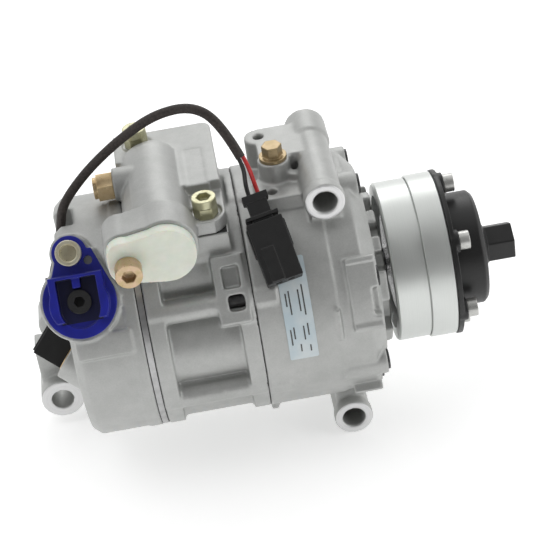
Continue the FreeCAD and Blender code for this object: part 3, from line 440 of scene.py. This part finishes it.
LEAD_POINTS = [(-138.4, -19.08, -0.85), (-138.2, -11.7, -6), (-138.8, -3.8, -2.6), (-137.2, 0.2, 5.5),
               (-134.5, 1, 16), (-131, 0.6, 29), (-126, 0, 41.5), (-123, -0.4, 53.5), (-120.6, -0.6, 63.5),
               (-113.5, 1, 72), (-102, 3.2, 82), (-86, 1.5, 94.5), (-69, -3, 106), (-51.5, -9.5, 110.5),
               (-40.5, -15.5, 102), (-34.4, -22, 86.9)]
SHEATH_R = 2.25 * MM
WIRE_R = 1.0 * MM
CONNECTOR_CENTRE = mm(-26.5, -45.9, 48.5)
CONNECTOR_TURN = Matrix.Rotation(math.radians(-42), 3, "X") @ Matrix.Rotation(math.radians(-10), 3, "Y")
WIRES = (("lead_wire_black", -1.05, -2.2), ("lead_wire_red", 1.05, 2.2))  # sideways at the sheath, at the boot
WIRE_LEAVES = 5  # how far the wires run straight on from the sheath
WIRE_SEAT = 28  # where they end, above the connector's middle
WIRE_APPROACH = 33
LENGTH_STEPS = 64


def new_piece(name, data, slot):
    piece = bpy.data.objects.new(name, data)
    scene.collection.objects.link(piece)
    dress(piece, FINISH[slot])
    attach(piece, "housing")
    return piece


def spline_piece(name, points, radius, slot):
    data = bpy.data.curves.new(name, "CURVE")
    data.dimensions = "3D"
    data.bevel_depth = radius
    data.bevel_resolution = 8
    data.resolution_u = 16
    data.use_fill_caps = True
    line = data.splines.new("NURBS")
    line.points.add(len(points) - 1)
    for knot, point in zip(line.points, points):
        knot.co = (*point, 1)
    line.order_u = 3
    line.use_endpoint_u = True
    return new_piece(name, data, slot)


def spline_length(points):
    """Length of the order-3 spline through its own even knots: each inner stretch runs between mid-points."""
    corners = [points[0]]
    for first, second in zip(points[1:-2], points[2:-1]):
        corners.append((first + second) / 2)
    corners.append(points[-1])
    total = 0.0
    for start, control, end in zip(corners, points[1:-1], corners[1:]):
        last = start
        for step in range(1, LENGTH_STEPS + 1):
            u = step / LENGTH_STEPS
            here = start * (1 - u) ** 2 + control * (2 * u * (1 - u)) + end * u ** 2
            total += (here - last).length
            last = here
    return total


def make_lead():
    """Sheath of the flying lead, the two wires that come out of it, and the sheath's length."""
    route = [mm(*point) for point in LEAD_POINTS]
    sheath = spline_piece("flying_lead", route, SHEATH_R, "sheath")
    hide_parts("lead_sheath")
    heading = (route[-1] - route[-2]).normalized()
    side = CONNECTOR_TURN @ Vector((1, 0, 0))
    wires = []
    for name, offset, across in WIRES:
        start = route[-1] + side * offset * MM
        end = CONNECTOR_CENTRE + CONNECTOR_TURN @ mm(across, 0, WIRE_SEAT)
        approach = CONNECTOR_CENTRE + CONNECTOR_TURN @ mm(across, 0, WIRE_APPROACH)
        wire = spline_piece(name + "_run", [start, start + heading * WIRE_LEAVES * MM, approach, end], WIRE_R,
                            name.replace("lead_wire_", "") + "_wire")
        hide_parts(name)
        wires.append(wire)
    return sheath, wires, spline_length(route)


LABEL_RADIUS = 59.3
LABEL_X = (-27.5, -14)
LABEL_ANGLES = (45, 94.2)
STICKER_DEPTH = 0.12
CORNER_STEPS = 6
DASH_RADIUS = 59.36
DASH_HALF_WIDTH = 0.32
# along X, and the angles each runs between
DASHES = [(-19.2, 60, 70), (-17.2, 58, 72), (-23.6, 60, 71), (-25.2, 61, 67), (-19.2, 77, 84), (-17.2, 76, 82),
          (-23.8, 77, 83), (-21.6, 86, 90), (-17.2, 87, 90.5), (-25.4, 78, 86)]


def bent_patch(name, radius, x_range, angle_range, corner, steps):
    """A thin sticker or mark bent round the shaft axis, with rounded corners; angles from +Z towards -Y."""
    x_low, x_high = x_range
    low, high = (math.radians(angle) * radius for angle in angle_range)
    outline = []
    for cx, cy, start in ((x_high - corner, high - corner, 0), (x_low + corner, high - corner, 90),
                          (x_low + corner, low + corner, 180), (x_high - corner, low + corner, 270)):
        for step in range(CORNER_STEPS + 1):
            turn = math.radians(start + 90 * step / CORNER_STEPS)
            outline.append((cx + corner * math.cos(turn), cy + corner * math.sin(turn)))
    mesh = bmesh.new()
    mesh.faces.new([mesh.verts.new((x, y, 0)) for x, y in outline])
    for step in range(1, steps):
        level = low + (high - low) * step / steps
        bmesh.ops.bisect_plane(mesh, geom=mesh.verts[:] + mesh.edges[:] + mesh.faces[:],
                               plane_co=(0, level, 0), plane_no=(0, 1, 0))
    back = bmesh.ops.extrude_face_region(mesh, geom=mesh.faces[:])["geom"]
    for vertex in (item for item in back if isinstance(item, bmesh.types.BMVert)):
        vertex.co.z = -STICKER_DEPTH
    for vertex in mesh.verts:
        turn = vertex.co.y / radius
        reach = radius + vertex.co.z
        vertex.co = Vector((vertex.co.x, -reach * math.sin(turn), reach * math.cos(turn))) * MM
    bmesh.ops.recalc_face_normals(mesh, faces=mesh.faces[:])
    data = bpy.data.meshes.new(name)
    mesh.to_mesh(data)
    mesh.free()
    return new_piece(name, data, "label")


def make_label():
    """Blank rating label with rounded corners and plain dashes in place of print."""
    label = bent_patch("rating_sticker", LABEL_RADIUS, LABEL_X, LABEL_ANGLES, 1.0, 28)
    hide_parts("rating_label")
    ink = mottled("label_ink", grey(0.09), grey(0.05), 0.5).material
    for number, (x, start, end) in enumerate(DASHES, start=1):
        dash = bent_patch(f"label_dash_{number}", DASH_RADIUS, (x - DASH_HALF_WIDTH, x + DASH_HALF_WIDTH),
                          (start, end), 0.15, 6)
        dress(dash, ink)


# ---------------------------------------------------------------- the scene

make_camera()
make_studio()
SLOTS = {part["node"]: part["material_slot"] for part in frame["record"]["subparts"]}
FINISH = make_materials()
OWN_FINISH = make_special_materials()
for node_name in SLOTS:
    dress(nodes[node_name], finish_of(node_name))
sheath, wires, lead_length = make_lead()
for softened in SOFTENED:
    soften(*softened)
make_label()
scene.view_settings.view_transform = "Standard"
